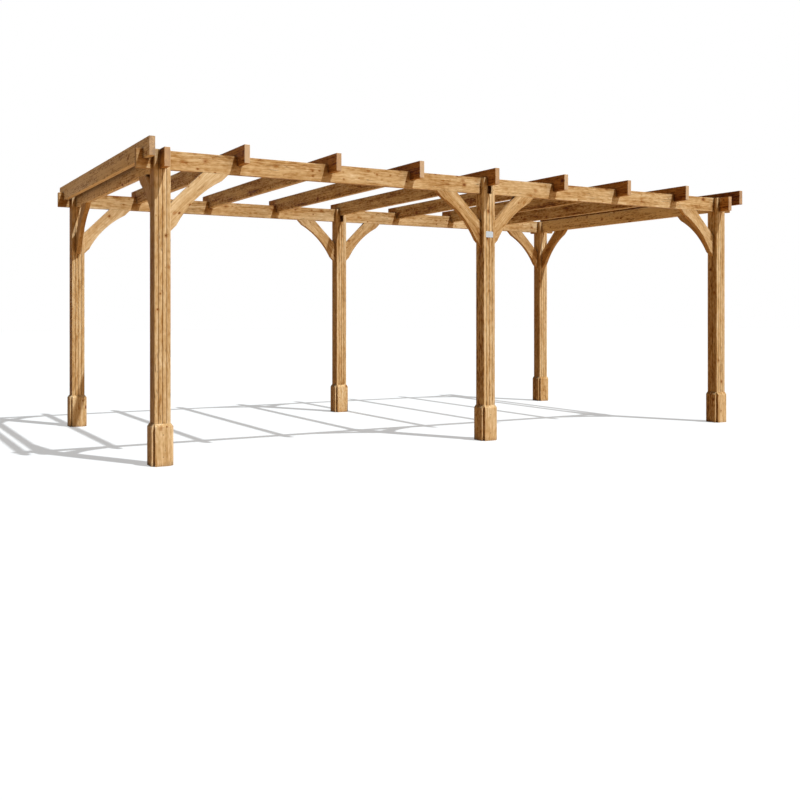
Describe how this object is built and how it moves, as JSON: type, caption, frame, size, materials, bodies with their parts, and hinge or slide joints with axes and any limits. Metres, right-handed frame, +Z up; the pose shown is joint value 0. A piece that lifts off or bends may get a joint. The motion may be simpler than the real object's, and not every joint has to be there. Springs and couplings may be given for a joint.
{
  "type": "wooden pergola",
  "caption": "Open timber pergola: grooved posts with plinth boards carry long beams and side beams in slotted heads, with notched rafters above and arched braces below.",
  "frame": {"origin": "on the ground under the middle of the plan, half-way between the two middle posts", "axes": "+X along the front to the right, +Y from the front row to the back row, +Z up"},
  "size_m": [6.375, 3.375, 2.4575],
  "materials": {
    "post_timber": "stained softwood, planed and grooved",
    "plinth_board": "stained softwood, planed",
    "beam_timber": "stained softwood, planed",
    "rafter_timber": "stained softwood, planed",
    "brace_timber": "stained softwood, planed"
  },
  "bodies": {
    "root": {"post_front_left": "post_timber", "post_front_middle": "post_timber", "post_front_right": "post_timber", "post_back_left": "post_timber", "post_back_middle": "post_timber", "post_back_right": "post_timber", "plinth_front_left": "plinth_board", "plinth_front_middle": "plinth_board", "plinth_front_right": "plinth_board", "plinth_back_left": "plinth_board", "plinth_back_middle": "plinth_board", "plinth_back_right": "plinth_board", "beam_front_left": "beam_timber", "beam_front_right": "beam_timber", "beam_back_left": "beam_timber", "beam_back_right": "beam_timber", "beam_side_left": "beam_timber", "beam_side_right": "beam_timber", "rafter_1": "rafter_timber", "rafter_2": "rafter_timber", "rafter_3": "rafter_timber", "rafter_4": "rafter_timber", "rafter_5": "rafter_timber", "rafter_6": "rafter_timber", "rafter_7": "rafter_timber", "rafter_8": "rafter_timber", "rafter_9": "rafter_timber", "brace_front_left": "brace_timber", "brace_front_middle_left": "brace_timber", "brace_front_middle_right": "brace_timber", "brace_front_right": "brace_timber", "brace_side_left_front": "brace_timber", "brace_side_right_front": "brace_timber", "brace_back_left": "brace_timber", "brace_back_middle_left": "brace_timber", "brace_back_middle_right": "brace_timber", "brace_back_right": "brace_timber", "brace_side_left_back": "brace_timber", "brace_side_right_back": "brace_timber"}
  },
  "joints": []
}
